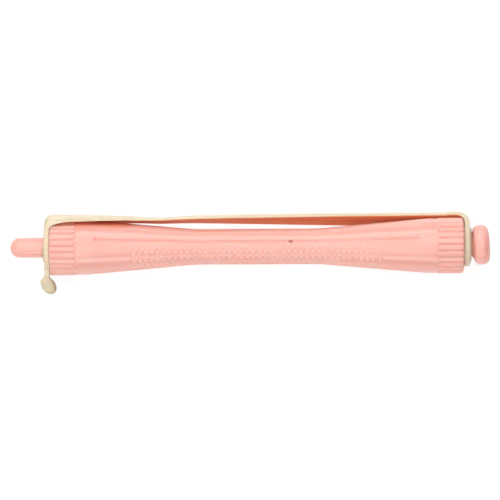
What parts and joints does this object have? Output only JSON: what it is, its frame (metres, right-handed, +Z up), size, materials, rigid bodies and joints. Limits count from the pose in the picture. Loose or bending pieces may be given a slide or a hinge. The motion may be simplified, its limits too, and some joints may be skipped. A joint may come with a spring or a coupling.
{
  "type": "perm rod",
  "caption": "Waisted plastic hair perm rod with fluted ends, a round-nosed peg and a button, and a flat rubber elastic that hooks over the peg.",
  "frame": {"origin": "on the surface that the rod lies on, below the middle of the whole part", "axes": "+X along the rod from the peg to the button, +Y towards the elastic, +Z up from the surface that the two rims rest on"},
  "size_m": [0.0942, 0.0158, 0.0109],
  "materials": {
    "pink_plastic": "soft satin moulded polypropylene",
    "cream_rubber": "matte natural rubber"
  },
  "bodies": {
    "rod": {"rod_barrel": "pink_plastic", "peg_plug": "pink_plastic", "button_plug": "pink_plastic"},
    "band": {"elastic_fixed_eye": "cream_rubber", "elastic_strap": "cream_rubber"},
    "free_end": {"elastic_free_eye": "cream_rubber", "elastic_pull_bead": "cream_rubber"}
  },
  "joints": [
    {"name": "band_swivel", "type": "hinge", "parent": "rod", "child": "band", "pos_m": [0.0418, 0.00129, 0.00545], "axis": [1, 0, 0], "range_deg": [-180, 180]},
    {"name": "unhook", "type": "slide", "parent": "band", "child": "free_end", "axis": [-1, 0, 0], "range_m": [0, 0.0092], "stiffness_N_per_m": 80, "deforming": ["elastic_strap"]}
  ]
}
